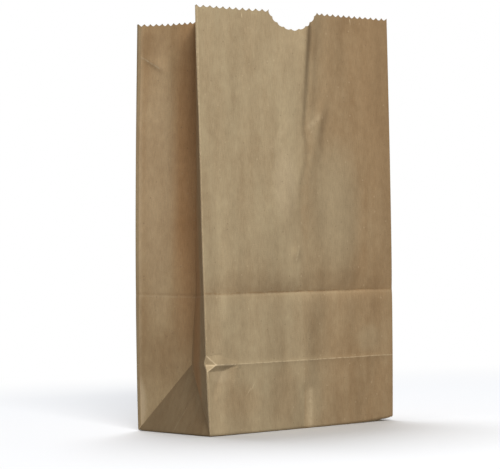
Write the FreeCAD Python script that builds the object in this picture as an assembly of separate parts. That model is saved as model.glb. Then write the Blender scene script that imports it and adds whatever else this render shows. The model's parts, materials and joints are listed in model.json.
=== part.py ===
import FreeCAD, Part
import math
import os

# Square-bottom kraft paper bag, standing open on its base. Millimetres.
# X runs across the bag, the front panel faces -Y and Z is up.
# The origin is at the middle of the underside.
# Every facet of paper between two creases is a thin plate, and the plates meet at the creases.

bag_width = 152.4
bag_depth = 92.0
bag_height = 281.0
paper = 0.12
paste = 0.05

front_lean = -1.3
back_lean = 3.5
apex_push = 16.0

crease_gap = 0.7
pleat_clearance = 5.2
base_clearance = 0.04

low_crease = bag_depth / 2
high_crease = bag_depth

tooth_pitch = 4.8
tooth_depth = 1.7
notch_width = 38.0
notch_depth = 12.7
notch_teeth = 9
notch_tooth_depth = 1.1

seam_overlap = 12.0
seam_joggle = 0.4
seam_margin = 1.0
flap_overlap = 20.0
flap_margin = 1.0

half_width = bag_width / 2
half_depth = bag_depth / 2
base_crease_height = 3 * paper + paste + base_clearance


def vector(x, y, z):
    return FreeCAD.Vector(x, y, z)


def unit(v):
    return v * (1.0 / v.Length)


class Panel:
    """The plane of a front or back panel, hinged on its base crease and leaning inwards."""

    def __init__(self, side, lean):
        angle = math.radians(lean)
        self.foot = vector(0, side * half_depth, base_crease_height)
        self.up = vector(0, -side * math.sin(angle), math.cos(angle))
        self.outward = vector(0, side * math.cos(angle), math.sin(angle))

    def point(self, x, rise, out=0.0):
        return self.foot + vector(x, 0, 0) + self.up * rise + self.outward * out


front = Panel(-1, front_lean)
back = Panel(1, back_lean)


def plate(points, normal, thickness=paper):
    """A flat plate whose middle plane is the given outline."""
    start = unit(normal) * (-thickness / 2)
    corners = [p + start for p in points]
    face = Part.Face(Part.makePolygon(corners + [corners[0]]))
    return face.extrude(unit(normal) * thickness)


def zigzag(start, end, inward, depth):
    """Tooth tips on the line from start to end, with a valley between each two."""
    count = max(2, round((end - start).Length / tooth_pitch))
    step = (end - start) * (1.0 / count)
    points = []
    for i in range(count):
        points.append(start + step * i)
        points.append(start + step * (i + 0.5) + inward * depth)
    return points + [end]


def inset(corners, gaps):
    """The outline with each edge moved inwards by its own gap."""
    count = len(corners)
    normal = unit((corners[1] - corners[0]).cross(corners[2] - corners[0]))
    result = []
    for i in range(count):
        before = unit(corners[i] - corners[i - 1])
        after = unit(corners[(i + 1) % count] - corners[i])
        spread = normal.dot(before.cross(after))
        move = (after * gaps[i - 1] - before * gaps[i]) * (1.0 / spread)
        result.append(corners[i] + move)
    return result, normal


def facet(corners, toothed=False):
    """A flat facet set back from its creases; a toothed one has its first edge pinked."""
    gaps = [crease_gap] * len(corners)
    if toothed:
        gaps[0] = 0.0
    outline, normal = inset(corners, gaps)
    if toothed:
        inward = normal.cross(unit(outline[1] - outline[0]))
        outline = zigzag(outline[0], outline[1], inward, tooth_depth) + outline[2:]
    return plate(outline, normal)


def notch_points(panel):
    """The pinked edge of the thumb notch, from its right end to its left end."""
    radius = (notch_width ** 2 / 4 + notch_depth ** 2) / (2 * notch_depth)
    centre = bag_height - notch_depth + radius
    sweep = math.asin(notch_width / 2 / radius)
    steps = 2 * notch_teeth
    points = []
    for i in range(steps + 1):
        angle = sweep * (1 - 2 * i / steps)
        reach = radius + (i % 2) * notch_tooth_depth
        points.append(panel.point(reach * math.sin(angle), centre - reach * math.cos(angle)))
    return points


def strip(panel, left, right, low, high):
    """A rectangle of a panel between two heights."""
    points = [panel.point(left, low), panel.point(right, low)]
    points += [panel.point(right, high), panel.point(left, high)]
    return plate(points, panel.outward)


def front_panel():
    """The front panel in three lengths, divided at its two cross creases."""
    edge = half_width - crease_gap
    top = bag_height
    lower = strip(front, -edge, edge, crease_gap, low_crease)
    middle = strip(front, -edge, edge, low_crease, high_crease)
    down = front.up * -1
    points = [front.point(-edge, high_crease), front.point(edge, high_crease)]
    half_notch = notch_width / 2
    points += zigzag(front.point(edge, top), front.point(half_notch, top), down, tooth_depth)[:-1]
    points += notch_points(front)
    points += zigzag(front.point(-half_notch, top), front.point(-edge, top), down, tooth_depth)[1:]
    upper = plate(points, front.outward)
    return {"front_panel_lower": lower, "front_panel_middle": middle, "front_panel_upper": upper}


def pinked_top(panel, left, right):
    """The pinked top edge of a panel, from its right end to its left end."""
    right_end = panel.point(right, bag_height)
    left_end = panel.point(left, bag_height)
    return zigzag(right_end, left_end, panel.up * -1, tooth_depth)


def leaf(left, right):
    """A flat leaf of the back panel with a pinked top."""
    corners = [back.point(left, crease_gap), back.point(right, crease_gap)]
    return plate(corners + pinked_top(back, left, right), back.outward)


def seam_lap(left, right, step):
    """The edge of the right leaf, which steps out of the panel's plane to lap over the left leaf."""
    web = seam_overlap / 2 + seam_joggle
    skin = paper / 2
    section = ((left, step - skin), (web, step - skin), (web, -skin), (right, -skin),
               (right, skin), (web + paper, skin), (web + paper, step + skin), (left, step + skin))
    points = [back.point(x, crease_gap, out) for x, out in section]
    face = Part.Face(Part.makePolygon(points + [points[0]]))
    spare = tooth_pitch
    high = bag_height + spare
    lap = face.extrude(back.up * (high - crease_gap))
    waste = pinked_top(back, left - spare, right + spare)
    waste += [back.point(left - spare, high + spare), back.point(right + spare, high + spare)]
    return lap.cut(plate(waste, back.outward, spare)).Solids[0]


def back_panel():
    """The back panel: two leaves lapped and pasted along a seam up its middle."""
    edge = half_width - crease_gap
    lap = seam_overlap / 2
    step = paper + paste
    start = lap + seam_joggle + paper + seam_margin
    side = lap - seam_margin
    low = crease_gap + seam_margin
    high = bag_height - tooth_depth - seam_margin
    bead_points = []
    for x, rise in ((-side, low), (side, low), (side, high), (-side, high)):
        bead_points.append(back.point(x, rise, step / 2))
    return {
        "back_left_leaf": leaf(-edge, lap),
        "back_right_leaf": leaf(start, edge),
        "back_seam_lap": seam_lap(-lap, start, step),
        "back_seam_paste": plate(bead_points, back.outward, paste),
    }


def meeting_point(first, second, third, near, far):
    """The point at one distance from the first two points and another from the third, inside the bag."""
    across = unit(second - first)
    middle = (first + second) * 0.5
    ring = math.sqrt(near ** 2 - (middle - first).Length ** 2)
    inwards = vector(1, 0, 0)
    down = unit(across.cross(inwards))
    if down.z > 0:
        down = down * -1
    reach = third - middle
    along = reach.dot(inwards)
    below = reach.dot(down)
    offset = reach.Length ** 2 + ring ** 2 - far ** 2
    size = 2 * ring * math.hypot(along, below)
    turn = math.atan2(below, along) - math.acos(offset / size)
    return middle + inwards * (ring * math.cos(turn)) + down * (ring * math.sin(turn))


def gusset_corners():
    """The corners of the left gusset: base, top, apex of the base triangle and top of the pleat."""
    front_base = front.point(-half_width, 0)
    back_base = back.point(-half_width, 0)
    front_top = front.point(-half_width, bag_height)
    back_top = back.point(-half_width, bag_height)
    apex_rise = math.sqrt(half_depth ** 2 - apex_push ** 2)
    apex = vector(apex_push - half_width, 0, base_crease_height + apex_rise)
    pleat_top = meeting_point(front_top, back_top, apex, half_depth, bag_height - half_depth)
    return front_base, back_base, front_top, back_top, apex, pleat_top


def gusset():
    """The five facets of the left gusset, each listed from the edge that is pinked, if it has one."""
    front_base, back_base, front_top, back_top, apex, pleat_top = gusset_corners()
    front_end = pleat_top + unit(front_top - pleat_top) * pleat_clearance
    back_end = pleat_top + unit(back_top - pleat_top) * pleat_clearance
    return {
        "gusset_base": facet([front_base, back_base, apex]),
        "gusset_front_outer": facet([front_base, front_top, apex]),
        "gusset_front_inner": facet([front_end, front_top, apex], toothed=True),
        "gusset_rear_outer": facet([back_base, back_top, apex]),
        "gusset_rear_inner": facet([back_end, back_top, apex], toothed=True),
    }


def flap(side, level):
    """A base flap with mitred ends, folded in from one long edge and past the middle."""
    reach = half_depth + flap_overlap / 2
    near = side * half_depth
    far = near - side * reach
    points = [vector(-half_width, near, level), vector(half_width, near, level)]
    points += [vector(half_width - reach, far, level), vector(reach - half_width, far, level)]
    return plate(points, vector(0, 0, 1))


def base():
    """The folded base: two lapped flaps, the paste between them and the two tucked ends."""
    outer_level = paper / 2
    paste_level = paper + paste / 2
    inner_level = paper + paste + paper / 2
    tuck_level = inner_level + paper
    half_lap = flap_overlap / 2 - flap_margin
    half_bead = half_width - half_depth - flap_overlap / 2 - flap_margin
    corners = ((-half_bead, -half_lap), (half_bead, -half_lap), (half_bead, half_lap), (-half_bead, half_lap))
    bead_points = [vector(x, y, paste_level) for x, y in corners]
    nodes = {
        "base_rear_flap": flap(1, outer_level),
        "base_front_flap": flap(-1, inner_level),
        "base_paste": plate(bead_points, vector(0, 0, 1), paste),
    }
    for name, side in (("base_left_tuck", -1), ("base_right_tuck", 1)):
        edge = side * half_width
        points = [vector(edge, -half_depth, tuck_level), vector(edge, half_depth, tuck_level)]
        points.append(vector(edge - side * half_depth, 0, tuck_level))
        nodes[name] = plate(points, vector(0, 0, 1))
    return nodes


def mirrored(shape):
    return shape.mirror(vector(0, 0, 0), vector(1, 0, 0))


def build():
    nodes = {}
    nodes.update(base())
    nodes.update(front_panel())
    nodes.update(back_panel())
    for name, shape in gusset().items():
        nodes["left_" + name] = shape
        nodes["right_" + name] = mirrored(shape)
    return nodes


os.makedirs("parts", exist_ok=True)
for node, solid in build().items():
    solid.exportStep("parts/" + node + ".step")
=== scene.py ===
import json
import math

import bmesh
import bpy
from bpy.props import FloatProperty, FloatVectorProperty, PointerProperty
from mathutils import Matrix, Vector, noise


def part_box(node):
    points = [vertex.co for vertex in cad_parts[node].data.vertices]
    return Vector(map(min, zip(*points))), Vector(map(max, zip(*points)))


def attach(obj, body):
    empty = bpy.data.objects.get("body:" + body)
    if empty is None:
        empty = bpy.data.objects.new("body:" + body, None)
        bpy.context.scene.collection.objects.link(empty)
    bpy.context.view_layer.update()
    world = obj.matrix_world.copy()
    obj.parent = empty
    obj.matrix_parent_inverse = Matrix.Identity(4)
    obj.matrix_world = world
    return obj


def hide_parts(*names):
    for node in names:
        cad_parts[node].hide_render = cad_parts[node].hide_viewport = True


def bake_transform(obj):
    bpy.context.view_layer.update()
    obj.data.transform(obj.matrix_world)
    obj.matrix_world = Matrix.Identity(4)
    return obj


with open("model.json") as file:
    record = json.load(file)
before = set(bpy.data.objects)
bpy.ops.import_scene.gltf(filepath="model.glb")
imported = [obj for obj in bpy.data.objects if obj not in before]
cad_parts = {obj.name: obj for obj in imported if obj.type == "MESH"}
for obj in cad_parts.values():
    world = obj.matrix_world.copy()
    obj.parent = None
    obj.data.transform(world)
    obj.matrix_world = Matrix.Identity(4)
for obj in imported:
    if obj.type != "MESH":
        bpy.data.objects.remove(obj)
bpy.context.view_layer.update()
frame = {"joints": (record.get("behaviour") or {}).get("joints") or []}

bl_info = {
    "name": "Kraft Bag Puppet",
    "version": (1, 0),
    "blender": (4, 5, 0),
    "location": "View3D > Sidebar > Kraft Bag",
    "description": "Dresses a square-bottom kraft paper bag, the blank of a hand puppet, in creased paper",
    "category": "Object",
}

# The paper is one web. A place on it is (u, v): u runs round the bag from the middle of the front
# panel, to -X through the left gusset and to +X through the right one, and v is the height above
# the base crease, both measured along the flat paper in metres.


def hinge(name):
    """The place of a joint and its axis, turned to point up."""
    joint = next(j for j in frame["joints"] if j["name"] == name)
    axis = Vector(joint["axis"])
    return Vector(joint["pos_m"]), axis if axis.z >= 0 else -axis


FRONT_FOOT, FRONT_RISE = hinge("left_front_edge_fold")
BACK_FOOT, BACK_RISE = hinge("left_rear_edge_fold")
APEX = hinge("left_front_pleat_fold")[0]
HALF_WIDTH = -FRONT_FOOT.x
HALF_DEPTH = BACK_FOOT.y
HEIGHT = (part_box("front_panel_upper")[1].z - FRONT_FOOT.z) / FRONT_RISE.z
DEPTH = 2 * HALF_DEPTH
GUSSET_END = HALF_WIDTH + DEPTH


def length_property(name, description, default):
    """A length in metres."""
    return FloatProperty(name=name, description=description, default=default, unit="LENGTH")


def angle_property(name, description, degrees):
    """An angle, given in degrees."""
    return FloatProperty(name=name, description=description, default=math.radians(degrees), subtype="ANGLE")


def power_property(name, description, default):
    """The power of a lamp in watts."""
    return FloatProperty(name=name, description=description, default=default, unit="POWER")


def colour_property(name, description, default):
    """A colour with no alpha."""
    return FloatVectorProperty(name=name, description=description, default=default, subtype="COLOR",
                               size=3, min=0, max=1)


class BagSizes(bpy.types.PropertyGroup):
    """Sizes of the bag's details and of its mesh."""

    paper: length_property("Paper", "Thickness that a sheet is drawn with", 0.00016)
    cell: length_property("Cell", "Width of one cell of a sheet's mesh", 0.0018)
    twist: length_property("Twist", "How far the front's top corners are twisted in and out", 0.0045)
    lip: length_property("Lip", "Width of the fold that a panel turns round its side edges", 0.0024)
    hem: length_property("Hem", "Width of a gusset's fold beyond its centre crease", 0.003)
    tooth_pitch: length_property("Tooth pitch", "Distance between two teeth of the pinked edge", 0.0048)
    tooth_depth: length_property("Tooth depth", "Depth of the pinked edge", 0.0016)
    notch_width: length_property("Notch width", "Width of the thumb notch", 0.038)
    notch_depth: length_property("Notch depth", "Depth of the thumb notch", 0.0127)
    notch_centre: length_property("Notch centre", "Place of the thumb notch across the front", -0.003)
    seam_overlap: length_property("Seam overlap", "Width of the back seam", 0.012)
    flap_overlap: length_property("Flap overlap", "How far the base flaps lap", 0.02)
    tuck_back: length_property("Tuck back", "How far the left gusset starts inside the panels' tops", 0.0015)
    fold_gap: length_property("Fold gap", "How far the base layers stop short of the base folds", 0.0006)
    low_crease: length_property("Low crease", "Height of the lower cross crease", 0.0455)
    high_crease: length_property("High crease", "Height of the upper cross crease on the front", 0.0915)
    back_rise: length_property("Crease rise", "How much higher the upper crease is at the back", 0.0026)
    corner_lift: length_property("Corner lift", "How far the front right corner curls off the table", 0.0022)


class BagColours(bpy.types.PropertyGroup):
    """Colours of the paper and the paste."""

    warm: colour_property("Warm kraft", "Colour of the browner patches", (0.325, 0.208, 0.105))
    olive: colour_property("Olive kraft", "Colour of the greener patches", (0.395, 0.312, 0.19))
    # Also painted highlight: light lines below the upper crease and along the side folds, and light patches
    # where the paper faces the lamps.
    worn: colour_property("Worn kraft and painted highlight", "Colour where a crease has lost its surface, and of painted highlights", (0.55, 0.44, 0.29))
    cut: colour_property("Cut edge", "Colour of the pinked tips and of dark specks", (0.13, 0.085, 0.05))
    shade: colour_property("Shaded kraft", "Colour in the depth of a crease", (0.22, 0.135, 0.065))
    # Painted shade: the warm dark colour of the shadowed hollow of the left gusset and of its front half.
    warm_shade: colour_property("Warm painted shade", "Colour deep in the gussets", (0.42, 0.215, 0.088))
    paste: colour_property("Paste", "Colour of the dried starch paste", (0.42, 0.34, 0.2))


class StageSettings(bpy.types.PropertyGroup):
    """Places of the camera and the lamps, and the strength of each light."""

    azimuth: angle_property("Azimuth", "Angle that the camera stands round the bag", -34.457)
    elevation: angle_property("Elevation", "Angle that the camera stands above its aim", -2.456)
    roll: angle_property("Roll", "Turn of the camera about its own line of sight", -2.098)
    distance: length_property("Distance", "Distance from the camera to its aim", 1.101)
    aim_height: length_property("Aim height", "Height of the camera's aim", 0.1405)
    aside: length_property("Aside", "How far the camera is moved to its right", -0.00616)
    raised: length_property("Raised", "How far the camera is moved up its own frame", -0.00724)
    lens: FloatProperty(name="Lens", description="Focal length in millimetres on a 36 mm sensor",
                        default=113.1, unit="CAMERA")
    room: FloatProperty(name="Room light", description="Strength of the even light of the room",
                        default=0.22)
    key: power_property("Key light", "Power of the soft light at the left front", 40.0)
    key_azimuth: angle_property("Key azimuth", "Angle that the key light stands round the bag", -22)
    key_elevation: angle_property("Key elevation", "Angle that the key and rear lights stand up", 28)
    rake: power_property("Raking light", "Power of the light across the front panel alone", 62.0)
    rake_azimuth: angle_property("Rake azimuth", "Angle that the raking light stands round the bag", -64)
    rake_elevation: angle_property("Rake elevation", "Angle that the raking light stands up", 36)
    rear: power_property("Rear light", "Power of the soft light on the far sides alone", 38.0)
    rear_azimuth: angle_property("Rear azimuth", "Angle that the rear light stands round the bag", 140)
    top: power_property("Top light", "Power of the soft light over the floor alone", 44.0)


def compass(azimuth, elevation):
    """The way to something that stands at an azimuth round from the front and at an elevation."""
    level = math.cos(elevation)
    return Vector((math.sin(azimuth) * level, -math.cos(azimuth) * level, math.sin(elevation)))


# --- curves and falls used by the surfaces -------------------------------------------------------


def smooth(low, high, x):
    """0 below low, 1 above high and a smooth rise between."""
    t = min(max((x - low) / (high - low), 0.0), 1.0)
    return t * t * (3 - 2 * t)


def bell(x, centre, width):
    """A smooth hump of height 1."""
    return math.exp(-(((x - centre) / width) ** 2))


def fold(x, before, after):
    """A crease at 0 that dies away over its own length on either side."""
    return math.exp(x / before) if x < 0 else math.exp(-x / after)


def along(points, x):
    """A smooth curve through a short list of (place, value) points."""
    if x <= points[0][0]:
        return points[0][1]
    for (low, start), (high, end) in zip(points, points[1:]):
        if x <= high:
            return start + (end - start) * smooth(low, high, x)
    return points[-1][1]


def wave(x, y, width, length, seed):
    """Gentle waves of about one unit, so wide and so long."""
    return noise.noise(Vector((x / width, y / length, seed)))


def waves(kinds, x, y, seed_shift=0):
    """Some kinds of wave added up, each given as its height, width, length and seed."""
    return sum(height * wave(x, y, width, length, seed + seed_shift)
               for height, width, length, seed in kinds)


# --- the surfaces of the paper -------------------------------------------------------------------

SMALL = 1e-6
CURL_HEIGHT = 0.05
CURL_SHARES = {"left": (0.15, 0.05), "right": (1.0, 0.5)}  # of its front and its back corner
STIFF_EDGE = 0.014  # width beside a side fold over which a panel's waves fade
EDGE_SHARE = 0.3  # what a cross crease keeps of its depth at the side folds
ROLL_HEIGHT = 0.0016
ROLL_DEPTH = 0.0004

RIDGE = (  # the line of the ridge: heights and the places across at them
    (0.105, -0.005), (0.12, -0.0041), (0.13, -0.0013), (0.147, -0.0032), (0.16, -0.002),
    (0.187, 0.0034), (0.201, 0.0016), (0.235, 0.0042), (0.281, 0.0068))
RIDGE_START, RIDGE_FORMED, RIDGE_TOP = 0.112, 0.15, 0.27
RIDGE_HEIGHT = 0.0046
RIDGE_FALLS = (0.024, 0.0125)  # how far it reaches to its left and to its right
FURROW_DEPTH = 0.001
FURROW_OFFSET = 0.0034
SPUR_HEIGHT = 0.0012
RIDGE_END_HEIGHT = 0.0009

CREASE_WAVER = 0.0007
CREASE_FALLS = (0.0032, 0.0075)  # how far the upper crease reaches below and above its line
LOW_CREASE_HEIGHT = 0.0004
FOOT_FOLD_DEPTH = 0.0013

# Waves of the paper: height, width, length and seed of each kind.
FRONT_WAVES = ((0.0011, 0.045, 0.11, 0.4), (0.00045, 0.013, 0.045, 5.2), (0.00012, 0.006, 0.016, 8.8))
FOOT_WAVES = ((0.0013, 0.021, 0.05, 2.6),)
BACK_WAVES = ((0.0007, 0.05, 0.12, 12.4), (0.0002, 0.013, 0.045, 15.2))
GUSSET_WAVES = ((0.0006, 0.03, 0.09, 31.7), (0.0002, 0.011, 0.03, 35.1))
PLEAT_WAVES = ((0.0004, 1, 0.02, 21.3),)
TRIANGLE_WAVES = ((0.0005, 0.02, 0.04, 41.0),)


def corner_lift(x, y):
    """How far the curl of the nearest corner lifts a place on the base."""
    sizes = bpy.context.scene.bag_sizes
    share = CURL_SHARES["left" if x < 0 else "right"][y > 0]
    return sizes.corner_lift * share * (x / HALF_WIDTH) ** 4 * (y / HALF_DEPTH) ** 4


def curl(x, y, v):
    """What is left of the curl of a corner at a height up the paper."""
    return corner_lift(x, y) * (1 - smooth(0, CURL_HEIGHT, v))


def inside(x):
    """0 on the side folds of a panel and 1 in its middle."""
    return smooth(0, STIFF_EDGE, HALF_WIDTH - abs(x))


def ridge_relief(u, v):
    """The ridge down from the thumb notch: a slow rise on its left, a furrow and a fall on its right."""
    strength = smooth(RIDGE_START, RIDGE_FORMED, v) * (0.3 + 0.7 * smooth(RIDGE_FORMED, RIDGE_TOP, v))
    d = u - along(RIDGE, v)
    hump = RIDGE_HEIGHT * fold(d, *RIDGE_FALLS) * (0.7 + 0.3 * smooth(0.2, RIDGE_TOP, v))
    furrow = FURROW_DEPTH * bell(d, FURROW_OFFSET, 0.002)
    end = RIDGE_END_HEIGHT * bell(u, -0.004, 0.0035) * bell(v, 0.118, 0.005)
    spur = SPUR_HEIGHT * bell(d - 0.25 * (v - 0.19), 0.011, 0.0045) * bell(v, 0.203, 0.018)
    return strength * (hump - furrow) + end + spur


def high_crease_relief(u, v, line, depth):
    """A crease that the upper part turns into: a slow fall above it and a quick return below."""
    d = v - line - CREASE_WAVER * wave(u, 0, 0.014, 1, 3.1)
    return -depth * fold(d, *CREASE_FALLS)


def high_crease_depth(u):
    """The upper crease is deepest in the middle of the front and shallow at its left."""
    return 0.0006 + 0.0013 * smooth(-0.06, -0.01, u) - 0.0004 * smooth(0.045, 0.07, u)


def low_crease_relief(u, v):
    """The lower crease stands out a little and fades before the crumpled corner."""
    line = bpy.context.scene.bag_sizes.low_crease
    return LOW_CREASE_HEIGHT * fold(v - line, 0.0025, 0.0012) * smooth(-0.066, -0.05, u)


def foot_fold_relief(u, v):
    """A short upright fold pressed in at the foot of the front."""
    return -FOOT_FOLD_DEPTH * fold(u - 0.0006 - 0.03 * v, 0.008, 0.0045) * (1 - smooth(0.022, 0.034, v))


CRUMPLE = (  # the facets of the crumpled corner fold: three corners each, as (u, v, height) in millimetres
    ((-76.2, 52.0, 0.0), (-70.1, 45.9, 1.1), (-76.2, 46.6, -2.4)),
    ((-76.2, 46.6, -2.4), (-70.1, 45.9, 1.1), (-76.2, 41.6, 0.2)),
    ((-76.2, 41.6, 0.2), (-70.1, 45.9, 1.1), (-65.0, 41.5, -1.3)),
    ((-70.1, 45.9, 1.1), (-52.0, 45.6, 0.5), (-65.0, 41.5, -1.3)),
    ((-65.0, 41.5, -1.3), (-52.0, 45.6, 0.5), (-56.0, 33.0, 0.0)),
    ((-76.2, 41.6, 0.2), (-65.0, 41.5, -1.3), (-74.0, 22.0, 0.0)),
    ((-65.0, 41.5, -1.3), (-56.0, 33.0, 0.0), (-74.0, 22.0, 0.0)),
    ((-70.1, 45.9, 1.1), (-76.2, 52.0, 0.0), (-66.0, 52.5, -0.2)),
    ((-70.1, 45.9, 1.1), (-66.0, 52.5, -0.2), (-52.0, 45.6, 0.5)),
)


def crumple_relief(u, v):
    """The crumpled corner fold at the lower crease: flat facets between sharp creases."""
    x, y = u * 1000, v * 1000
    for (ax, ay, a), (bx, by, b), (cx, cy, c) in CRUMPLE:
        size = (by - cy) * (ax - cx) + (cx - bx) * (ay - cy)
        first = ((by - cy) * (x - cx) + (cx - bx) * (y - cy)) / size
        second = ((cy - ay) * (x - cx) + (ax - cx) * (y - cy)) / size
        third = 1 - first - second
        if min(first, second, third) >= -SMALL:
            return (a * first + b * second + c * third) / 1000
    return 0.0


def front_relief(u, v):
    """How far the front panel stands out from its plane."""
    line = bpy.context.scene.bag_sizes.high_crease
    inner = inside(u)
    bumps = waves(FRONT_WAVES, u, v) + waves(FOOT_WAVES, u, v) * (1 - smooth(0.085, 0.1, v))
    relief = inner * (bumps + ridge_relief(u, v) + low_crease_relief(u, v) + foot_fold_relief(u, v))
    relief += (EDGE_SHARE + (1 - EDGE_SHARE) * inner) * high_crease_relief(u, v, line, high_crease_depth(u))
    return relief + crumple_relief(u, v)


def base_roll(v):
    """How far the paper turns in under the base, close to the base crease."""
    return ROLL_DEPTH * max(1 - v / ROLL_HEIGHT, 0.0) ** 2


def edge_bow(v, most):
    """How far a side fold bows out sideways between the base and the mouth."""
    return most * math.sin(math.pi * (v / HEIGHT) ** 0.85)


def front_surface(u, v):
    """A place on the front panel."""
    edge = FRONT_FOOT + FRONT_RISE * v
    twist = bpy.context.scene.bag_sizes.twist * (u / HALF_WIDTH) * v / HEIGHT
    out = front_relief(u, v) - base_roll(v)
    x = u * (1 + edge_bow(v, 0.0012) / HALF_WIDTH)
    return Vector((x, edge.y - twist - out, edge.z + curl(u, -HALF_DEPTH, v)))


def back_surface(x, v):
    """A place on the back panel, x metres across from its middle."""
    sizes = bpy.context.scene.bag_sizes
    edge = BACK_FOOT + BACK_RISE * v
    inner = inside(x)
    low = 0.00025 * fold(v - sizes.low_crease, 0.002, 0.0014)
    high = high_crease_relief(x, v, sizes.high_crease + sizes.back_rise, 0.0006)
    out = inner * (waves(BACK_WAVES, x, v) + low) - base_roll(v)
    out += (EDGE_SHARE + (1 - EDGE_SHARE) * inner) * high
    wide = 1 + edge_bow(v, 0.0018) / HALF_WIDTH
    return Vector((x * wide, edge.y + out, edge.z + curl(x, HALF_DEPTH, v)))


def pleat_top():
    """The top of the left gusset's centre crease: one half depth from both corners of the mouth."""
    front_top = FRONT_FOOT + FRONT_RISE * HEIGHT
    back_top = BACK_FOOT + BACK_RISE * HEIGHT
    middle = (front_top + back_top) / 2
    ring = math.sqrt(HALF_DEPTH ** 2 - (middle - front_top).length_squared)
    inwards = Vector((1, 0, 0))
    down = (back_top - front_top).cross(inwards).normalized()
    if down.z > 0:
        down = -down
    reach = APEX - middle
    far = HEIGHT - HALF_DEPTH
    offset = reach.length_squared + ring ** 2 - far ** 2
    flat = math.hypot(reach.dot(inwards), reach.dot(down))
    turn = math.atan2(reach.dot(down), reach.dot(inwards)) - math.acos(offset / (2 * ring * flat))
    return middle + inwards * (ring * math.cos(turn)) + down * (ring * math.sin(turn))


PLEAT_TOP = pleat_top()
VISIBLE_APEX = APEX + Vector((0.0006, 0, 0.0018))
PLEAT_BOW = 0.0029
PLEAT_SHIFTS = {-1: 0.0016, 1: -0.0022}  # of the left and the right gusset's mouth, to the back
GUSSET_PULL_IN = 0.0045
GUSSET_PULL_BACK = {"front": 0.007, "rear": 0.004}


def centre_crease(side, v):
    """The gusset's centre crease, which bows a little further in than the straight line to its top."""
    t = (v - HALF_DEPTH) / (HEIGHT - HALF_DEPTH)
    bow = PLEAT_BOW * smooth(0, 0.26, t) * (1 - 0.45 * smooth(0.3, 1, t))
    point = VISIBLE_APEX + (PLEAT_TOP - VISIBLE_APEX) * t + Vector((bow, PLEAT_SHIFTS[side] * t, 0))
    point += Vector((waves(PLEAT_WAVES, 0, v, side), 0, 0)) * smooth(0, 0.1, t)
    return Vector((-side * point.x, point.y, point.z))


def diagonal(side, foot, v):
    """The edge of the base triangle, from a corner of the base to the apex."""
    point = foot + (VISIBLE_APEX - foot) * (v / HALF_DEPTH)
    point.z += curl(side * HALF_WIDTH, foot.y, v)
    return Vector((-side * point.x, point.y, point.z))


def bowed(start, end, pull, a):
    """A point at share a of a line from start to end that is pulled to arrive along its last stretch."""
    middle = (start + end) / 2 + pull
    return start * (1 - a) ** 2 + middle * (2 * a * (1 - a)) + end * a ** 2


def outward(side, towards):
    """The way that half of a gusset faces."""
    return Vector((side * 0.9, 0.44 * towards, 0)).normalized()


def gusset_ends(side, half, v):
    """Where a gusset half starts at its panel and ends at the centre crease or the base triangle."""
    sizes = bpy.context.scene.bag_sizes
    tuck = sizes.tuck_back * smooth(0.19, 0.26, v) if side < 0 else 0.0
    if half == "front":
        start = front_surface(side * HALF_WIDTH, v) + Vector((0, tuck, 0))
        foot = FRONT_FOOT
    else:
        start = back_surface(side * HALF_WIDTH, v) - Vector((0, tuck, 0))
        foot = BACK_FOOT
    return start, centre_crease(side, v) if v >= HALF_DEPTH else diagonal(side, foot, v)


def rear_wrinkle(t, v):
    """A small slanting fold by the mouth of the rear half, t metres in from its rear edge."""
    slant = v - 0.2595 + 0.56 * t
    return 0.0018 * fold(slant, 0.0012, 0.01) * smooth(0.024, 0.015, t)


def gusset_relief(side, half, s, v, a):
    """How far a gusset half stands out, at share a of the way from its panel to the centre crease."""
    sizes = bpy.context.scene.bag_sizes
    inner = smooth(0, 0.25, a) * smooth(0, 0.25, 1 - a)
    line = sizes.high_crease + sizes.back_rise * s / DEPTH
    relief = inner * waves(GUSSET_WAVES, s, v, side)
    relief += smooth(0, 0.12, a) * smooth(0, 0.1, 1 - a) * high_crease_relief(s, v, line, 0.0005)
    if half == "rear":
        relief += inner * rear_wrinkle(DEPTH - s, v)
    return relief


def gusset_surface(side, s, v):
    """A place on a gusset, s metres of paper back from its front edge."""
    half = "front" if s <= HALF_DEPTH else "rear"
    from_panel = s if half == "front" else DEPTH - s
    a = min(from_panel / max(min(v, HALF_DEPTH), SMALL), 1.0)
    start, end = gusset_ends(side, half, v)
    pull = Vector((-side * GUSSET_PULL_IN, GUSSET_PULL_BACK[half], 0)) * smooth(0.1, 0.19, v)
    towards = 1 if half == "front" else -1
    return bowed(start, end, pull, a) + outward(side, towards) * gusset_relief(side, half, s, v, a)


LIP_GAP = 0.00005
LIP_RISE = 0.0002
LIP_START = 0.0006


def lip_surface(side, towards, past, v):
    """A place on the strip that a panel turns past its side fold, close over the gusset."""
    s = past if towards > 0 else DEPTH - past
    rise = LIP_RISE * smooth(0, LIP_START, past) + LIP_GAP
    return gusset_surface(side, s, max(v, past)) + outward(side, towards) * rise


def triangle_surface(side, s, v):
    """A place on the base triangle of a gusset."""
    start = diagonal(side, FRONT_FOOT, v)
    end = diagonal(side, BACK_FOOT, v)
    span = DEPTH - 2 * v
    share = min(max((s - v) / span, 0.0), 1.0) if span > SMALL else 0.5
    inner = smooth(0, 0.2, share) * smooth(0, 0.2, 1 - share) * smooth(0, 0.01, v)
    line = s - 0.046 + 0.5 * v
    out = inner * (waves(TRIANGLE_WAVES, s, v, side) + 0.0004 * fold(line, 0.003, 0.0008))
    return start + (end - start) * share + Vector((side, 0, 0)) * (out - base_roll(v))


# --- sheets of paper -----------------------------------------------------------------------------

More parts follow.
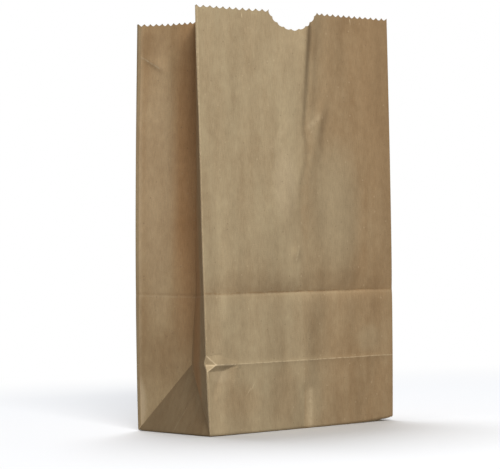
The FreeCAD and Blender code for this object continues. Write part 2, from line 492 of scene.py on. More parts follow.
NOTCH_TEETH = 9
NOTCH_BITE = 0.0009
NOTCH_SLANT = 0.0024  # how much higher the notch ends at its right
CUT_TOLERANCE = 1e-7
FOLD_CUTS = (0.0002, 0.0005, 0.001)  # distances of the extra cuts beside a side fold
FOOT_CUTS = [0.0004, 0.0009, 0.0014]  # heights of the extra cuts at the foot
SHARP_ANGLE = math.radians(50)
LIP_MITRE = 1.5
HEM_MITRE = 3
HEM_DEPTH = 0.0004
SEAM_STEP = 0.00034
BEAD_MARGIN = 0.001
BEAD_RISE = 0.00014
BEAD_THICKNESS = 0.0001
BEND_REACH = 0.003  # half the width over which a gusset half turns between its facets


def beside(distances):
    """Distances on both sides of a fold."""
    return distances + tuple(-d for d in distances)


def close_cuts(line, cell, first, last):
    """Cuts a small cell apart, from the first to just before the last of them, counted from a line."""
    return [line + cell * i for i in range(first, last)]


def steps(low, high, size, extra=()):
    """Even cuts between low and high, with some more at chosen places."""
    count = max(1, round((high - low) / size))
    cuts = [low + (high - low) * i / count for i in range(1, count)]
    return sorted(cuts + [x for x in extra if low < x < high])


def teeth(start, end):
    """A pinked line at the top of the paper: sharp tips with a rounded valley between each two."""
    sizes = bpy.context.scene.bag_sizes
    count = max(1, round(abs(end - start) / sizes.tooth_pitch))
    points = []
    for i in range(count):
        for share in (0, 0.2, 0.35, 0.5, 0.65, 0.8):
            depth = 1 - abs(2 * share - 1) ** 1.5
            uneven = 1 + 0.25 * noise.noise(Vector((start * 90 + i * 1.7, share, 2.2)))
            points.append((start + (end - start) * (i + share) / count,
                           HEIGHT - sizes.tooth_depth * depth * uneven))
    return points + [(end, HEIGHT)]


def notch():
    """The pinked edge of the thumb notch, from its right end to its left end."""
    sizes = bpy.context.scene.bag_sizes
    half = sizes.notch_width / 2
    radius = (half ** 2 + sizes.notch_depth ** 2) / (2 * sizes.notch_depth)
    centre = HEIGHT - sizes.notch_depth + radius
    sweep = math.asin(half / radius)
    points = []
    for i in range(4 * NOTCH_TEETH + 1):
        angle = sweep * (1 - i / (2 * NOTCH_TEETH))
        reach = radius + NOTCH_BITE * (0, 0.8, 1, 0.8)[i % 4]
        rise = NOTCH_SLANT * max(math.sin(angle), 0)
        v = min(centre - reach * math.cos(angle) + rise, HEIGHT)
        points.append((sizes.notch_centre + reach * math.sin(angle), v))
    return points


def flat_sheet(outline, columns, rows):
    """A flat sheet cut to an outline of (u, v) places and divided along columns and rows."""
    sheet = bmesh.new()
    sheet.faces.new([sheet.verts.new((u, v, 0)) for u, v in outline])
    for places, normal in ((columns, Vector((1, 0, 0))), (rows, Vector((0, 1, 0)))):
        for place in places:
            geometry = sheet.verts[:] + sheet.edges[:] + sheet.faces[:]
            bmesh.ops.bisect_plane(sheet, geom=geometry, dist=CUT_TOLERANCE, plane_co=normal * place,
                                   plane_no=normal)
    return sheet


def paper_piece(name, sheet, surface, material, thickness):
    """Lays a flat sheet on a surface, keeps its flat places as its UV map and gives it its thickness."""
    flat = sheet.loops.layers.uv.new("flat")
    for face in sheet.faces:
        face.smooth = True
        for loop in face.loops:
            loop[flat].uv = loop.vert.co.xy
    for vert in sheet.verts:
        vert.co = surface(vert.co.x, vert.co.y)
    return skinned(name, sheet, material, thickness)


def skinned(name, sheet, material, thickness):
    """Makes a sheet an object with a wall behind its face."""
    mesh = bpy.data.meshes.new(name)
    sheet.to_mesh(mesh)
    sheet.free()
    piece = bpy.data.objects.new(name, mesh)
    bpy.context.scene.collection.objects.link(piece)
    wall = piece.modifiers.new("wall", "SOLIDIFY")
    wall.thickness = thickness
    wall.offset = -1
    bpy.context.view_layer.update()
    graph = bpy.context.evaluated_depsgraph_get()
    piece.data = bpy.data.meshes.new_from_object(piece.evaluated_get(graph))
    piece.modifiers.clear()
    piece.data.name = name
    piece.data.set_sharp_from_angle(angle=SHARP_ANGLE)
    piece.data.materials.clear()
    piece.data.materials.append(material)
    return piece


# --- materials -----------------------------------------------------------------------------------

TIP_DEPTH, TIP_END = 0.0013, 0.0002  # below the top, where the pinked tips start and finish to darken
FIBRE_HEIGHT = 0.00012


class Value:
    """A socket of a material's nodes, so that shader maths reads as a Python expression."""

    def __init__(self, board, socket):
        self.board = board
        self.socket = socket

    def maths(self, operation, *values):
        """The result of a Math node."""
        return self.board.node("ShaderNodeMath", {"operation": operation}, *values)

    def __add__(self, other):
        return self.maths("ADD", self, other)

    def __sub__(self, other):
        return self.maths("SUBTRACT", self, other)

    def __rsub__(self, other):
        return self.maths("SUBTRACT", other, self)

    def __mul__(self, other):
        return self.maths("MULTIPLY", self, other)

    def __truediv__(self, other):
        return self.maths("DIVIDE", self, other)

    def __abs__(self):
        return self.maths("ABSOLUTE", self)

    __radd__ = __add__
    __rmul__ = __mul__


class Board:
    """The nodes of one material."""

    def __init__(self, name):
        self.material = bpy.data.materials.new(name)
        self.material.use_nodes = True
        self.tree = self.material.node_tree
        self.shader = self.tree.nodes["Principled BSDF"]

    def node(self, kind, settings, *values, output=0, **named):
        """A node with its settings, then its inputs in order or by name."""
        node = self.tree.nodes.new(kind)
        for key, setting in settings.items():
            setattr(node, key, setting)
        for key, value in list(enumerate(values)) + [(k.replace("_", " "), v) for k, v in named.items()]:
            if value is None:
                continue
            if isinstance(value, Value):
                self.tree.links.new(value.socket, node.inputs[key])
            else:
                node.inputs[key].default_value = value
        return Value(self, node.outputs[output])

    def paper_places(self):
        """u and v on the flat paper."""
        place = self.node("ShaderNodeUVMap", {"uv_map": "flat"})
        u = self.node("ShaderNodeSeparateXYZ", {}, place, output=0)
        v = self.node("ShaderNodeSeparateXYZ", {}, place, output=1)
        return place, u, v

    def grain(self, place, across, up, detail=2.0, roughness=0.5):
        """Noise from 0 to 1 with that many grains a metre across and up the paper."""
        scaled = self.node("ShaderNodeVectorMath", {"operation": "MULTIPLY"}, place, (across, up, 1))
        return self.node("ShaderNodeTexNoise", {"noise_dimensions": "2D"}, scaled, None, 1.0, detail,
                         roughness)

    def ramp(self, value, low, high):
        """0 at low and 1 at high, with a smooth rise."""
        return self.node("ShaderNodeMapRange", {"interpolation_type": "SMOOTHSTEP"}, value, low, high,
                         0.0, 1.0)

    def mix(self, share, first, second):
        """A colour between two; share 0 gives the first."""
        node = self.tree.nodes.new("ShaderNodeMix")
        node.data_type = "RGBA"
        for key, value in ((0, share), (6, first), (7, second)):
            if isinstance(value, Value):
                self.tree.links.new(value.socket, node.inputs[key])
            else:
                node.inputs[key].default_value = value
        return Value(self, node.outputs[2])

    def line(self, distance, width):
        """1 on a line and 0 past its width."""
        return 1 - self.ramp(abs(distance), 0.0, width)

    def patch(self, u, v, centre, reach):
        """A soft oval patch about a place."""
        across = (u - centre[0]) / reach[0]
        up = (v - centre[1]) / reach[1]
        return 1 - self.ramp(across * across + up * up, 0.0, 1.0)

    def stroke(self, place, start, end, width):
        """1 on a straight stroke between two places and 0 past its width."""
        reach = Vector((*end, 0)) - Vector((*start, 0))
        offset = self.node("ShaderNodeVectorMath", {"operation": "SUBTRACT"}, place, (*start, 0))
        share = self.node("ShaderNodeVectorMath", {"operation": "DOT_PRODUCT"}, offset,
                          reach / reach.length_squared, output=1)
        share = self.node("ShaderNodeClamp", {}, share)
        nearest = self.node("ShaderNodeVectorMath", {"operation": "SCALE"}, reach, Scale=share)
        away = self.node("ShaderNodeVectorMath", {"operation": "DISTANCE"}, offset, nearest, output=1)
        return 1 - self.ramp(away, 0.0, width)

    def feed(self, name, value):
        """Gives an input of the shader a value or a link."""
        if isinstance(value, Value):
            self.tree.links.new(value.socket, self.shader.inputs[name])
        else:
            self.shader.inputs[name].default_value = value


def rgba(colour):
    """A colour with full alpha."""
    return (*colour, 1.0)


def tint_of(tint):
    """One of the bag's colours by its name, with full alpha."""
    return rgba(getattr(bpy.context.scene.bag_colours, tint))


def swings(*noises):
    """Some noises added up about 0, each given with its strength."""
    total = 0
    for noise_value, strength in noises:
        total = total + (noise_value - 0.5) * strength
    return total


def specked(board, place, colour):
    """Sparse dark and light specks over a colour."""
    cells = board.node("ShaderNodeVectorMath", {"operation": "MULTIPLY"}, place, (210, 170, 1))
    spot = board.node("ShaderNodeTexVoronoi", {"voronoi_dimensions": "2D"}, cells, None, 1.0, output=0)
    pick = board.node("ShaderNodeTexVoronoi", {"voronoi_dimensions": "2D"}, cells, None, 1.0, output=1)
    chosen = board.node("ShaderNodeSeparateXYZ", {}, pick, output=0)
    dark = (1 - board.ramp(spot, 0.05, 0.13)) * board.ramp(chosen, 0.93, 0.95)
    light = (1 - board.ramp(spot, 0.05, 0.15)) * (1 - board.ramp(chosen, 0.04, 0.06))
    colour = board.mix(dark * 0.35, colour, tint_of("cut"))
    return board.mix(light * 0.2, colour, tint_of("worn"))


def wear_and_light_lines(board, place, colour, masks, strokes):
    """Crease lines, painted shade and painted highlights along creases and folds, and short strokes over a
    colour, broken up as paper wears.
    """
    broken = board.ramp(board.grain(place, 420, 420, 2), 0.3, 0.62) * 0.7 + 0.3
    for mask, strength, tint in masks:
        colour = board.mix(mask * broken * strength, colour, tint_of(tint))
    for start, end, width, strength, tint in strokes:
        mask = board.stroke(place, start, end, width) * strength
        colour = board.mix(mask * broken, colour, tint_of(tint))
    return colour


def kraft(name, tone, creases, patches=(), strokes=(), tips=True, painted_brightness=1.0):
    """Unbleached kraft paper: vertical fibres, soft mottling, specks, creases with wear and dark cut tips,
    with painted light and shade from its tone, patches, crease lines and strokes, and a brightness factor
    per piece.
    """
    board = Board(name)
    place, u, v = board.paper_places()
    cloud = board.grain(place, 38, 24, 3)
    mottle = board.grain(place, 210, 130, 3, 0.6)
    streak = board.grain(place, 150, 17, 2)
    fibre = board.grain(place, 1500, 190, 3, 0.6)
    fine = board.grain(place, 2600, 1500, 2, 0.6)
    hue = tone(board, u, v) - swings((cloud, 0.5), (streak, 0.3), (mottle, 0.3))
    colour = board.mix(hue, tint_of("olive"), tint_of("warm"))
    for centre, reach, strength, tint in patches:
        colour = board.mix(board.patch(u, v, centre, reach) * strength, colour, tint_of(tint))
    shade = 1 + swings((cloud, 0.18), (streak, 0.12), (mottle, 0.18), (fibre, 0.34), (fine, 0.34))
    # The piece's brightness factor scales its colour: above 1 it is painted light, below 1 painted shade.
    colour = board.node("ShaderNodeVectorMath", {"operation": "SCALE"}, colour, Scale=shade * painted_brightness)
    colour = wear_and_light_lines(board, place, colour, creases(board, u, v), strokes)
    colour = specked(board, place, colour)
    if tips:
        tip = board.ramp(v, HEIGHT - TIP_DEPTH, HEIGHT - TIP_END) * 0.55
        colour = board.mix(tip, colour, tint_of("cut"))
    board.feed("Base Color", colour)
    board.feed("Roughness", 0.74 + (fibre - 0.5) * 0.2)
    board.feed("Specular IOR Level", 0.25)
    height = fibre * 0.35 + fine * 0.4 + board.grain(place, 260, 90, 2) * 1.2
    bump = board.node("ShaderNodeBump", {}, Strength=0.35, Distance=FIBRE_HEIGHT, Height=height)
    board.feed("Normal", bump)
    return board.material


def paste_material():
    """Dried starch paste: blotchy and a little glossier than the paper."""
    board = Board("dried_paste")
    place = board.paper_places()[0]
    blotch = board.grain(place, 160, 160, 3)
    board.feed("Base Color", board.mix(blotch, tint_of("paste"), tint_of("warm")))
    board.feed("Roughness", 0.4 + blotch * 0.3)
    board.feed("Normal", board.node("ShaderNodeBump", {}, Strength=0.4, Distance=0.0001, Height=blotch))
    return board.material


# --- tones, creases and stains of each kind of sheet ---------------------------------------------


def no_creases(board, u, v):
    """No cross creases."""
    return ()


def cross_creases(high_line, soft=0.3):
    """The two cross creases: a line of wear at the lower one, and over the upper one a band and line of
    painted shade with a faint painted highlight just below it.
    """
    def lines(board, u, v):
        sizes = bpy.context.scene.bag_sizes
        waver = (board.grain(board.paper_places()[0], 60, 1, 2) - 0.5) * 0.0016
        low = v - sizes.low_crease - waver * 0.4
        high = v - high_line - waver
        band = board.ramp(high, -0.0003, 0.0003) * (1 - board.ramp(high, 0.0, 0.0085))
        return ((board.line(low, 0.0005), 0.55, "worn"),
                # Painted shade over the upper crease and a faint painted highlight below it.
                (board.line(high - 0.0004, 0.0011), 1.7 * soft, "shade"),
                (band, soft, "shade"),
                (board.line(high + 0.0014, 0.0009), 0.06, "worn"))
    return lines


def gusset_creases(board, u, v):
    """The upper cross crease runs on faintly round the gusset and rises to the back: a painted highlight
    just below its line and painted shade just above it.
    """
    sizes = bpy.context.scene.bag_sizes
    back = (abs(u) - HALF_WIDTH) / DEPTH
    high = v - sizes.high_crease - back * sizes.back_rise
    return ((board.line(high + 0.001, 0.0009), 0.25, "worn"),
            (board.line(high - 0.0006, 0.0016), 0.2, "shade"))


def front_light_and_shade(board, u, v):
    """Painted light and shade: the front is greener and lighter left of the ridge, towards the lamps, and
    browner and darker to its right.
    """
    return board.ramp(u, -0.02, 0.05) * 0.62 + 0.16


def back_tone(board, u, v):
    """The back is a little browner towards the mouth."""
    return board.ramp(v, 0.0, 0.6) * 0.4 + 0.3


def gusset_tone(board, u, v):
    """The gussets are browner towards the mouth."""
    return board.ramp(v, -0.1, 0.2) * 0.6 + 0.25


def foot_painted_shade(board, u, v):
    """Painted shade: the base triangles are browner than the gussets beside them."""
    return board.ramp(v, -0.1, 0.1) * 0.4 + 0.35


def base_tone(board, u, v):
    """The base is a little browner towards the back."""
    return board.ramp(v, -0.2, 0.2) * 0.4 + 0.2


def web_place(s, v):
    """The place on the web of a point s metres back on the left gusset."""
    return -HALF_WIDTH - s, v


# Patches: place on the paper, reach, strength and colour. Most are painted light and shade: the lighter
# patches stand for light on faces turned to the lamps, the darker ones for shade beside the ridge, the
# creases and the folds and deep in the gussets.
FRONT_PATCHES = (
    ((-0.006, 0.2), (0.013, 0.09), 0.45, "olive"),
    ((-0.012, 0.165), (0.012, 0.03), 0.3, "worn"),
    ((0.013, 0.205), (0.006, 0.014), 0.45, "olive"),
    ((0.022, 0.235), (0.016, 0.06), 0.3, "warm"),
    ((0.07, 0.23), (0.03, 0.1), 0.5, "warm"),
    ((0.074, 0.2), (0.022, 0.14), 0.16, "shade"),
    ((0.03, 0.145), (0.026, 0.06), 0.7, "olive"),
    ((-0.03, 0.125), (0.04, 0.018), 0.3, "olive"),
    ((-0.066, 0.039), (0.009, 0.006), 0.3, "worn"),
    ((0.055, 0.058), (0.014, 0.012), 0.35, "olive"),
    ((-0.038, 0.097), (0.05, 0.011), 0.22, "shade"),
    ((0.03, 0.1), (0.04, 0.008), 0.2, "shade"),
    ((-0.058, 0.075), (0.012, 0.014), 0.35, "olive"),
    ((0.011, 0.262), (0.007, 0.02), 0.35, "shade"),
    ((0.008, 0.022), (0.009, 0.03), 0.4, "olive"),
    ((-0.016, 0.024), (0.014, 0.026), 0.32, "shade"),
    ((0.03, 0.022), (0.012, 0.03), 0.15, "shade"),
    ((-0.05, 0.02), (0.02, 0.014), 0.25, "warm"),
)
GUSSET_PATCHES = (
    # Painted shade above the rear wrinkle, deep in the hollow and at the foot; painted light on the rear
    # half and along its rear edge.
    (web_place(0.083, 0.266), (0.016, 0.012), 0.4, "shade"),
    (web_place(0.049, 0.18), (0.02, 0.16), 0.5, "warm_shade"),
    (web_place(0.03, 0.07), (0.016, 0.1), 0.6, "warm_shade"),
    (web_place(0.075, 0.17), (0.018, 0.12), 0.3, "worn"),
    (web_place(0.091, 0.14), (0.005, 0.2), 0.35, "worn"),
    (web_place(0.09, 0.018), (0.0065, 0.024), 0.75, "worn"),
    (web_place(0.072, 0.052), (0.03, 0.026), 0.25, "shade"),
)

# Small creases, and strokes of painted light and shade: the two ends on the paper, width, strength and
# colour.
FRONT_STROKES = (
    ((-0.0762, 0.0519), (-0.0701, 0.0459), 0.0006, 0.7, "worn"),
    ((-0.0764, 0.0416), (-0.0701, 0.0459), 0.0006, 0.7, "worn"),
    ((-0.0701, 0.0459), (-0.0554, 0.0453), 0.0008, 0.6, "worn"),
    ((-0.0427, 0.2776), (-0.0423, 0.2745), 0.0005, 0.7, "worn"),
    ((0.0442, 0.2783), (0.0447, 0.2752), 0.0005, 0.7, "worn"),
    # Painted highlights along the left side fold.
    ((-0.0758, 0.055), (-0.0758, 0.2805), 0.0005, 0.4, "worn"),
    ((-0.0758, 0.001), (-0.0758, 0.041), 0.0006, 0.3, "worn"),
    # Painted shade left of the upright fold at the foot and a painted highlight right of it.
    ((0.0006, 0.002), (0.0013, 0.025), 0.001, 0.3, "shade"),
    ((0.0046, 0.002), (0.0053, 0.025), 0.003, 0.25, "worn"),
    ((-0.043, 0.028), (-0.040, 0.033), 0.0006, 0.3, "worn"),
    ((-0.047, 0.0245), (-0.0435, 0.029), 0.0006, 0.3, "worn"),
    ((-0.004, 0.113), (-0.002, 0.122), 0.0012, 0.3, "worn"),
    # Painted highlights on the ridge and on its spur.
    ((-0.022, 0.188), (-0.008, 0.207), 0.004, 0.12, "worn"),
    ((0.008, 0.203), (0.018, 0.211), 0.003, 0.2, "worn"),
)
GUSSET_STROKES = (
    (web_place(0.0898, 0.2584), web_place(0.0752, 0.2502), 0.0009, 0.8, "worn"),
    (web_place(0.0905, 0.0348), web_place(0.084, 0.02), 0.0007, 0.4, "worn"),
    (web_place(0.084, 0.02), web_place(0.0915, 0.001), 0.0007, 0.4, "worn"),
    (web_place(0.0905, 0.0154), web_place(0.084, 0.0145), 0.0007, 0.5, "worn"),
    # Painted highlight along the rear side fold.
    (web_place(0.0915, 0.04), web_place(0.0915, 0.28), 0.0006, 0.25, "worn"),
)
FOOT_STROKES = (
    (web_place(0.046, 0.001), web_place(0.037, 0.017), 0.0005, 0.45, "worn"),
    # Painted shade near the front edge of the triangle.
    (web_place(0.003, 0.002), web_place(0.012, 0.03), 0.006, 0.35, "shade"),
)


def furrow_strokes():
    """The shaded furrow along the right of the ridge."""
    return tuple(((u + 0.0032, v), (top_u + 0.0036, top_v), 0.006, 0.1, "shade")
                 for (v, u), (top_v, top_u) in zip(RIDGE[2:], RIDGE[3:]))


# --- operators -----------------------------------------------------------------------------------


class BAG_OT_front_panel(bpy.types.Operator):
    """Make the front panel with its thumb notch, ridge, cross creases and side folds"""

    bl_idname = "bag.front_panel"
    bl_label = "Front panel"

    def execute(self, context):
        sizes = context.scene.bag_sizes
        sheet = flat_sheet(self.outline(sizes), self.columns(sizes), self.rows(sizes))
        # The front's paper is drawn darker than the same paper elsewhere: painted shade.
        material = kraft("kraft_front", front_light_and_shade, cross_creases(sizes.high_crease), FRONT_PATCHES,
                         FRONT_STROKES + furrow_strokes(), painted_brightness=0.76)
        piece = paper_piece("front_panel_sheet", sheet, self.surface, material, sizes.paper)
        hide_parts("front_panel_lower", "front_panel_middle", "front_panel_upper")
        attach(piece, "front_panel")
        return {"FINISHED"}

    def outline(self, sizes):
        """The flat panel, a lip wider than the bag at each side, with its pinked top and notch."""
        edge = HALF_WIDTH + sizes.lip
        lip_foot = LIP_MITRE * sizes.lip
        lip_top = HEIGHT - sizes.tooth_depth
        right = sizes.notch_centre + sizes.notch_width / 2
        left = sizes.notch_centre - sizes.notch_width / 2
        points = [(-edge, lip_foot), (-HALF_WIDTH, 0), (HALF_WIDTH, 0), (edge, lip_foot), (edge, lip_top)]
        points += teeth(HALF_WIDTH, right)[:-1] + notch() + teeth(left, -HALF_WIDTH)[1:]
        return points + [(-edge, lip_top)]

    def columns(self, sizes):
        """Upright cuts, closer together at the side folds and over the crumpled corner."""
        folds = [side * (HALF_WIDTH + d) for side in (-1, 1) for d in beside(FOLD_CUTS)]
        folds += close_cuts(-HALF_WIDTH, 0.0007, 2, 30)
        columns = steps(-HALF_WIDTH, HALF_WIDTH, sizes.cell, folds)
        return sorted(columns + [x for x in folds if abs(x) > HALF_WIDTH] + [-HALF_WIDTH, HALF_WIDTH])

    def rows(self, sizes):
        """Level cuts, closer together at the cross creases and the foot."""
        fine = close_cuts(sizes.high_crease, 0.0005, -4, 8)
        fine += close_cuts(sizes.low_crease, 0.0006, -18, 13)
        return steps(0, HEIGHT, sizes.cell, fine + FOOT_CUTS)

    def surface(self, u, v):
        """A place on the panel, or on the lip that it turns round its side fold."""
        past = abs(u) - HALF_WIDTH
        if past <= 0:
            return front_surface(u, v)
        return lip_surface(1 if u > 0 else -1, 1, past, v)


class BAG_OT_back_panel(bpy.types.Operator):
    """Make the two leaves of the back panel, lapped along the seam up its middle, and the paste between"""

    bl_idname = "bag.back_panel"
    bl_label = "Back panel"

    def execute(self, context):
        sizes = context.scene.bag_sizes
        lap = sizes.seam_overlap / 2
        material = kraft("kraft_back", back_tone,
                         cross_creases(sizes.high_crease + sizes.back_rise, soft=0.15))
        for name, side in (("left", -1), ("right", 1)):
            self.leaf(sizes, name, side, lap, material)
        self.bead(sizes, lap)
        return {"FINISHED"}

    def leaf(self, sizes, name, side, lap, material):
        """One leaf from its side fold to past the seam; the right one steps over the left one."""
        sheet = self.leaf_sheet(sizes, side, GUSSET_END + HALF_WIDTH + lap, lap)

        def surface(u, v):
            past = GUSSET_END - abs(u)
            if past > 0:
                return lip_surface(side, -1, past, v)
            x = side * (HALF_WIDTH + past)
            point = back_surface(x, v)
            if side > 0:
                point.y += SEAM_STEP * smooth(-lap - 0.0008, -lap + 0.0002, -x)
            return point

        piece = paper_piece("back_" + name + "_sheet", sheet, surface, material, sizes.paper)
        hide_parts("back_" + name + "_leaf", *(["back_seam_lap"] if side > 0 else []))
        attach(piece, "back_panel")

    def leaf_sheet(self, sizes, side, far, lap):
        """The flat leaf, a lip wider than the panel at its side fold, with its pinked top."""
        near = GUSSET_END - sizes.lip
        outline = [(near, LIP_MITRE * sizes.lip), (GUSSET_END, 0), (far, 0)]
        outline += teeth(far, GUSSET_END) + [(near, HEIGHT - sizes.tooth_depth)]
        edges = [GUSSET_END + d for d in beside(FOLD_CUTS) + (0,)]
        edges += close_cuts(far - 2 * lap, 0.0005, -2, 3)
        fine = close_cuts(sizes.high_crease + sizes.back_rise, 0.0006, -3, 6)
        fine += close_cuts(0, 0.0005, 1, 4)
        return flat_sheet([(side * u, v) for u, v in outline][::side],
                          sorted(side * u for u in steps(near, far, sizes.cell, edges)),
                          steps(0, HEIGHT, sizes.cell, fine))

    def bead(self, sizes, lap):
        """The line of dried paste inside the seam."""
        side = lap - BEAD_MARGIN
        low = 2 * BEAD_MARGIN
        high = HEIGHT - sizes.tooth_depth - BEAD_MARGIN
        sheet = flat_sheet([(side, low), (-side, low), (-side, high), (side, high)],
                           steps(-side, side, sizes.cell), steps(low, high, sizes.cell))

        def surface(x, v):
            return back_surface(x, v) + Vector((0, BEAD_RISE, 0))

        piece = paper_piece("back_seam_bead", sheet, surface, paste_material(), BEAD_THICKNESS)
        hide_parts("back_seam_paste")
        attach(piece, "back_panel")


class BAG_OT_gussets(bpy.types.Operator):
    """Make the two side gussets: a front half, a rear half and a base triangle each"""

    bl_idname = "bag.gussets"
    bl_label = "Side gussets"

    def execute(self, context):
        sizes = context.scene.bag_sizes
        # The gussets' paper is drawn lighter than the same paper elsewhere: painted light.
        material = kraft("kraft_gusset", gusset_tone, gusset_creases, GUSSET_PATCHES,
                         GUSSET_STROKES, painted_brightness=1.21)
        # The base triangles' paper is drawn darker than the same paper elsewhere: painted shade.
        shaded = kraft("kraft_gusset_foot_painted_shade", foot_painted_shade, no_creases, (), FOOT_STROKES, tips=False,
                       painted_brightness=0.84)
        for name, side in (("left", -1), ("right", 1)):
            self.half(sizes, name, side, "front", material)
            self.half(sizes, name, side, "rear", material)
            self.triangle(sizes, name, side, shaded)
        return {"FINISHED"}

    def half(self, sizes, name, side, end, material):
        """One half of a gusset: one sheet in place of its outer and its inner facet."""
        near = [HALF_DEPTH + d for d in (-0.001, -0.0004, 0, 0.0004, 0.001)]
        fine = close_cuts(sizes.high_crease + sizes.back_rise / 2, 0.0008, -3, 5)
        rows = steps(0, HEIGHT, sizes.cell, fine)
        sheet = self.sheet(sizes, side, self.half_outline(sizes, end), near, rows)

        def surface(u, v):
            s = abs(u) - HALF_WIDTH
            place = gusset_surface(side, s, v)
            in_hem = end == "front" and s > HALF_DEPTH
            return place - outward(side, -1) * HEM_DEPTH if in_hem else place

        piece = paper_piece(f"{name}_gusset_{end}_skin", sheet, surface, material, sizes.paper)
        outer = f"{name}_gusset_{end}_outer"
        inner = f"{name}_gusset_{end}_inner"
        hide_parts(outer, inner)
        start, stop = self.bend(side, end)
        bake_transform(piece)
        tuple(start)
        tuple(stop)

    def sheet(self, sizes, side, outline, columns, rows):
        """A flat sheet of a gusset, given by how far back and how far up its corners are."""
        start = min(s for s, v in outline)
        stop = max(s for s, v in outline)
        cuts = sorted(side * (HALF_WIDTH + s) for s in steps(start, stop, sizes.cell, columns))
        return flat_sheet([(side * (HALF_WIDTH + s), v) for s, v in outline][::side], cuts, rows)

    def half_outline(self, sizes, end):
        """The corners of a half; the front one has a hem that goes on past the centre crease."""
        if end == "rear":
            return [(HALF_DEPTH, HALF_DEPTH), (DEPTH, 0)] + teeth(DEPTH, HALF_DEPTH)
        hem = HALF_DEPTH + sizes.hem
        corners = [(0, 0), (HALF_DEPTH, HALF_DEPTH), (hem, HALF_DEPTH + HEM_MITRE * sizes.hem)]
        return corners + [(hem, HEIGHT - sizes.tooth_depth)] + teeth(HALF_DEPTH, 0)

    def bend(self, side, end):
        """The two places between which a half turns from its outer facet to its inner one."""
        foot, rise = (FRONT_FOOT, FRONT_RISE) if end == "front" else (BACK_FOOT, BACK_RISE)
        corner = foot + rise * HEIGHT
        crease = (corner - APEX).normalized()
        inwards = PLEAT_TOP - APEX
        inwards = (inwards - crease * inwards.dot(crease)).normalized() * BEND_REACH
        flip = Vector((-side, 1, 1))
        middle = (corner + APEX) / 2
        return (middle - inwards) * flip, (middle + inwards) * flip

    def triangle(self, sizes, name, side, material):
        """The triangle at the foot of a gusset."""
        outline = [(0, 0), (DEPTH, 0), (HALF_DEPTH, HALF_DEPTH)]
        sheet = self.sheet(sizes, side, outline, (), steps(0, HALF_DEPTH, sizes.cell, FOOT_CUTS))

        def surface(u, v):
            return triangle_surface(side, abs(u) - HALF_WIDTH, v)

        piece = paper_piece(f"{name}_gusset_base_skin", sheet, surface, material, sizes.paper)
        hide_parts(f"{name}_gusset_base")
        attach(piece, f"{name}_gusset_base")


class BAG_OT_base(bpy.types.Operator):
    """Make the folded base: two lapped flaps, the tucked ends inside and the paste between the flaps"""

    bl_idname = "bag.base"
    bl_label = "Folded base"

    def execute(self, context):
        sizes = context.scene.bag_sizes
        material = kraft("kraft_base", base_tone, no_creases, tips=False)
        reach = HALF_DEPTH + sizes.flap_overlap / 2
        gap = sizes.fold_gap
        for name, side in (("rear", 1), ("front", -1)):
            near = side * (HALF_DEPTH - gap)
            far = near - side * reach
            outline = [(-HALF_WIDTH, near), (HALF_WIDTH, near), (HALF_WIDTH - reach, far),
                       (reach - HALF_WIDTH, far)][::-side]
            self.layer(sizes, f"base_{name}_sheet", f"base_{name}_flap", outline, material, "kraft_base")
        for name, side in (("left", -1), ("right", 1)):
            edge = side * (HALF_WIDTH - 2 * gap)
            wide = HALF_DEPTH - 4 * gap
            outline = [(edge, -wide), (edge, wide), (edge - side * wide, 0)][::side]
            self.layer(sizes, f"base_{name}_tuck_sheet", f"base_{name}_tuck", outline, material,
                       "kraft_base")
        low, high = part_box("base_paste")
        outline = [(low.x, low.y), (high.x, low.y), (high.x, high.y), (low.x, high.y)]
        self.layer(sizes, "base_bead", "base_paste", outline, paste_material(), "paste")
        return {"FINISHED"}

    def layer(self, sizes, name, node, outline, material, slot):
        """One layer of the base, which curls up with the corners and takes the space of its CAD node."""
        low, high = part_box(node)
        sheet = flat_sheet(outline, steps(-HALF_WIDTH, HALF_WIDTH, 2 * sizes.cell),
                           steps(-HALF_DEPTH, HALF_DEPTH, 2 * sizes.cell))
        top = high.z

        def surface(x, y):
            return Vector((x, y, top + corner_lift(x, y)))

        piece = paper_piece(name, sheet, surface, material, high.z - low.z)
        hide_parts(node)
        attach(piece, "base")


SOFT_WHITE = (1.0, 0.98, 0.95)
ROOM_COLOUR = (1.0, 0.94, 0.87, 1)
FLOOR_COLOUR = (0.90, 0.92, 0.95, 1)
BLACK = (0.0, 0.0, 0.0, 1)
WHITE = (1.0, 1.0, 1.0, 1)
LAMP_DISTANCE = 2.5
LAMP_AIM = Vector((0, 0, 0.12))
TOP_LAMP = Vector((0.35, 0.8, 2.4))
FAR_SIDES = ("back_left_sheet", "back_right_sheet", "right_gusset_front_skin", "right_gusset_rear_skin",
             "right_gusset_base_skin")


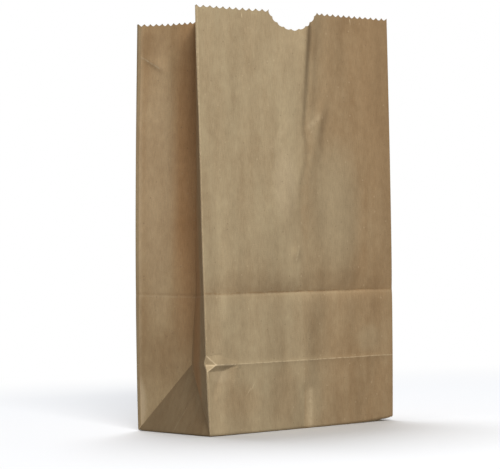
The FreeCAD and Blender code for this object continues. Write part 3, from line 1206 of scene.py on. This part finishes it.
class BAG_OT_stage(bpy.types.Operator):
    """Set the pale floor, the soft lights and the camera"""

    bl_idname = "bag.stage"
    bl_label = "Stage"

    def execute(self, context):
        settings = context.scene.stage_settings
        self.floor(context)
        self.room(context, settings)
        key = compass(settings.key_azimuth, settings.key_elevation) * LAMP_DISTANCE
        rake = compass(settings.rake_azimuth, settings.rake_elevation) * LAMP_DISTANCE
        rear = compass(settings.rear_azimuth, settings.key_elevation) * LAMP_DISTANCE
        self.light(context, "key_light", key, 0.8, settings.key, SOFT_WHITE)
        self.light(context, "raking_light", rake, 0.5, settings.rake, (1.0, 0.99, 0.96), "front_panel_sheet")
        self.light(context, "top_light", TOP_LAMP, 1.3, settings.top, (0.97, 0.98, 1.0), "floor")
        self.light(context, "rear_light", rear, 0.8, settings.rear, SOFT_WHITE, *FAR_SIDES)
        self.camera(context, settings)
        context.scene.view_settings.view_transform = "Standard"
        return {"FINISHED"}

    def floor(self, context):
        """A wide pale floor, which turns plain white well away from the bag."""
        disc = bmesh.new()
        bmesh.ops.create_circle(disc, cap_ends=True, segments=96, radius=9)
        mesh = bpy.data.meshes.new("floor")
        disc.to_mesh(mesh)
        disc.free()
        floor = bpy.data.objects.new("floor", mesh)
        context.scene.collection.objects.link(floor)
        board = Board("pale_floor")
        place = board.node("ShaderNodeTexCoord", {}, output=3)
        away = board.node("ShaderNodeVectorMath", {"operation": "LENGTH"}, place, output=1)
        lit = board.ramp(away, 0.35, 0.9)
        board.feed("Base Color", board.mix(lit, FLOOR_COLOUR, BLACK))
        board.feed("Emission Color", board.mix(lit, BLACK, WHITE))
        board.feed("Emission Strength", 1.0)
        board.feed("Roughness", 0.9)
        board.feed("Specular IOR Level", 0.0)
        mesh.materials.append(board.material)
        floor.visible_diffuse = False

    def room(self, context, settings):
        """Even light from all round; the room itself is seen as plain white."""
        world = bpy.data.worlds.new("room")
        world.use_nodes = True
        tree = world.node_tree
        background = tree.nodes["Background"]
        background.inputs["Color"].default_value = ROOM_COLOUR
        background.inputs["Strength"].default_value = settings.room
        white = tree.nodes.new("ShaderNodeBackground")
        white.inputs["Color"].default_value = WHITE
        seen = tree.nodes.new("ShaderNodeLightPath").outputs["Is Camera Ray"]
        either = tree.nodes.new("ShaderNodeMixShader")
        tree.links.new(seen, either.inputs[0])
        tree.links.new(background.outputs[0], either.inputs[1])
        tree.links.new(white.outputs[0], either.inputs[2])
        tree.links.new(either.outputs[0], tree.nodes["World Output"].inputs["Surface"])
        context.scene.world = world

    def light(self, context, name, place, size, power, colour, *only):
        """A square soft light that shines at the bag, or at some objects of the scene alone."""
        lamp = bpy.data.lights.new(name, "AREA")
        lamp.size = size
        lamp.energy = power
        lamp.color = colour
        lamp_object = bpy.data.objects.new(name, lamp)
        lamp_object.location = place
        lamp_object.rotation_euler = (LAMP_AIM - place).to_track_quat("-Z", "Y").to_euler()
        lamp_object.visible_camera = False
        context.scene.collection.objects.link(lamp_object)
        if only:
            lit = bpy.data.collections.new("lit_by_" + name)
            for lit_name in only:
                lit.objects.link(bpy.data.objects[lit_name])
            lamp_object.light_linking.receiver_collection = lit

    def camera(self, context, settings):
        """The camera, turned a little about its line of sight."""
        roll = settings.roll
        back = compass(settings.azimuth, settings.elevation)
        across = Vector((math.cos(settings.azimuth), math.sin(settings.azimuth), 0))
        up = back.cross(across)
        rolled = across * math.cos(roll) + up * math.sin(roll)
        upright = up * math.cos(roll) - across * math.sin(roll)
        data = bpy.data.cameras.new("camera")
        data.sensor_width = 36
        data.lens = settings.lens
        data.clip_start = 0.01
        camera = bpy.data.objects.new("camera", data)
        place = Vector((0, 0, settings.aim_height)) + back * settings.distance
        place += rolled * settings.aside + upright * settings.raised
        turn = Matrix((rolled, upright, back)).transposed().to_4x4()
        camera.matrix_world = Matrix.Translation(place) @ turn
        context.scene.collection.objects.link(camera)
        context.scene.camera = camera


class BAG_PT_panel(bpy.types.Panel):
    """The bag's pieces, sizes and colours"""

    bl_idname = "BAG_PT_panel"
    bl_label = "Kraft Bag"
    bl_space_type = "VIEW_3D"
    bl_region_type = "UI"
    bl_category = "Kraft Bag"

    def draw(self, context):
        scene = context.scene
        for operator in OPERATORS:
            self.layout.operator(operator.bl_idname)
        for group in (scene.bag_sizes, scene.bag_colours, scene.stage_settings):
            for name in group.__annotations__:
                self.layout.prop(group, name)


OPERATORS = (BAG_OT_base, BAG_OT_front_panel, BAG_OT_back_panel, BAG_OT_gussets, BAG_OT_stage)
GROUPS = {"bag_sizes": BagSizes, "bag_colours": BagColours, "stage_settings": StageSettings}


def register():
    """Adds the classes and their properties to the scene."""
    for group in GROUPS.values():
        bpy.utils.register_class(group)
    for operator in OPERATORS:
        bpy.utils.register_class(operator)
    bpy.utils.register_class(BAG_PT_panel)
    for name, group in GROUPS.items():
        setattr(bpy.types.Scene, name, PointerProperty(type=group))


def unregister():
    """Takes away what register added."""
    for name in GROUPS:
        delattr(bpy.types.Scene, name)
    bpy.utils.unregister_class(BAG_PT_panel)
    for operator in reversed(OPERATORS):
        bpy.utils.unregister_class(operator)
    for group in reversed(list(GROUPS.values())):
        bpy.utils.unregister_class(group)


def main():
    """Makes every piece and the stage."""
    register()
    for operator in OPERATORS:
        piece = operator.bl_idname.split(".")[1]
        getattr(bpy.ops.bag, piece)()


if __name__ == "__main__":
    main()
